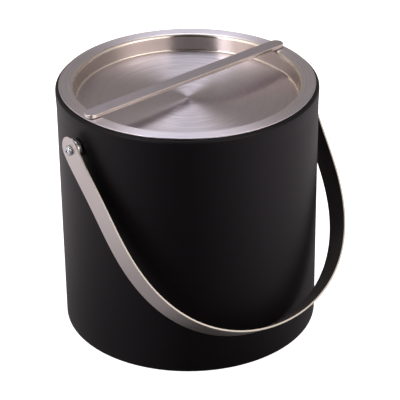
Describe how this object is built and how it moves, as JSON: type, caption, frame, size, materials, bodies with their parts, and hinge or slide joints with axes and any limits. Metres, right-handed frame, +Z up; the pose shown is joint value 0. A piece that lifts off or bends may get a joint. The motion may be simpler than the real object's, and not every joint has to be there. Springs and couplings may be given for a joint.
{
  "type": "ice bucket",
  "caption": "Round double-wall ice bucket in black and brushed steel, with a swinging strap handle and a recessed lift-off lid with a flat grip bar across it.",
  "frame": {"origin": "on the bucket's axis at the level it stands on, the centre of the anti-slip pad's underside", "axes": "+Z up along the bucket's axis; +X through the right pivot of the strap handle; the resting strap hangs towards -Y, the front"},
  "size_m": [0.2118, 0.2091, 0.1947],
  "materials": {
    "black_coating": "satin black powder coat",
    "brushed_stainless": "lathe-brushed, satin",
    "strap_stainless": "fine matte brush",
    "polished_chrome": "polished",
    "zinc_plate": "bright zinc plate",
    "dark_silicone": "matte",
    "nylon": "natural nylon",
    "foam": "rigid foam"
  },
  "bodies": {
    "bucket": {"outer_shell": "black_coating", "inner_liner": "brushed_stainless", "base_plate": "black_coating", "base_pad": "dark_silicone", "insulation_sleeve": "foam", "insulation_disc": "foam", "left_spacer": "polished_chrome", "right_spacer": "polished_chrome", "left_pivot_screw": "zinc_plate", "right_pivot_screw": "zinc_plate", "left_backing_washer": "zinc_plate", "right_backing_washer": "zinc_plate", "left_spring_washer": "zinc_plate", "right_spring_washer": "zinc_plate", "left_hex_nut": "zinc_plate", "right_hex_nut": "zinc_plate"},
    "bail": {"bail_strap": "strap_stainless", "left_bush": "nylon", "right_bush": "nylon"},
    "lid": {"lid_pan": "brushed_stainless", "lid_plug": "brushed_stainless", "lid_insulation": "foam", "lid_seal": "dark_silicone", "lid_bar": "brushed_stainless"}
  },
  "joints": [
    {"name": "bail_swing", "type": "hinge", "parent": "bucket", "child": "bail", "pos_m": [0, 0, 0.1667], "axis": [-1, 0, 0], "range_deg": [0, 283.8]},
    {"name": "lid_lift", "type": "slide", "parent": "bucket", "child": "lid", "axis": [0, 0, 1], "range_m": [0, 0.06]}
  ]
}
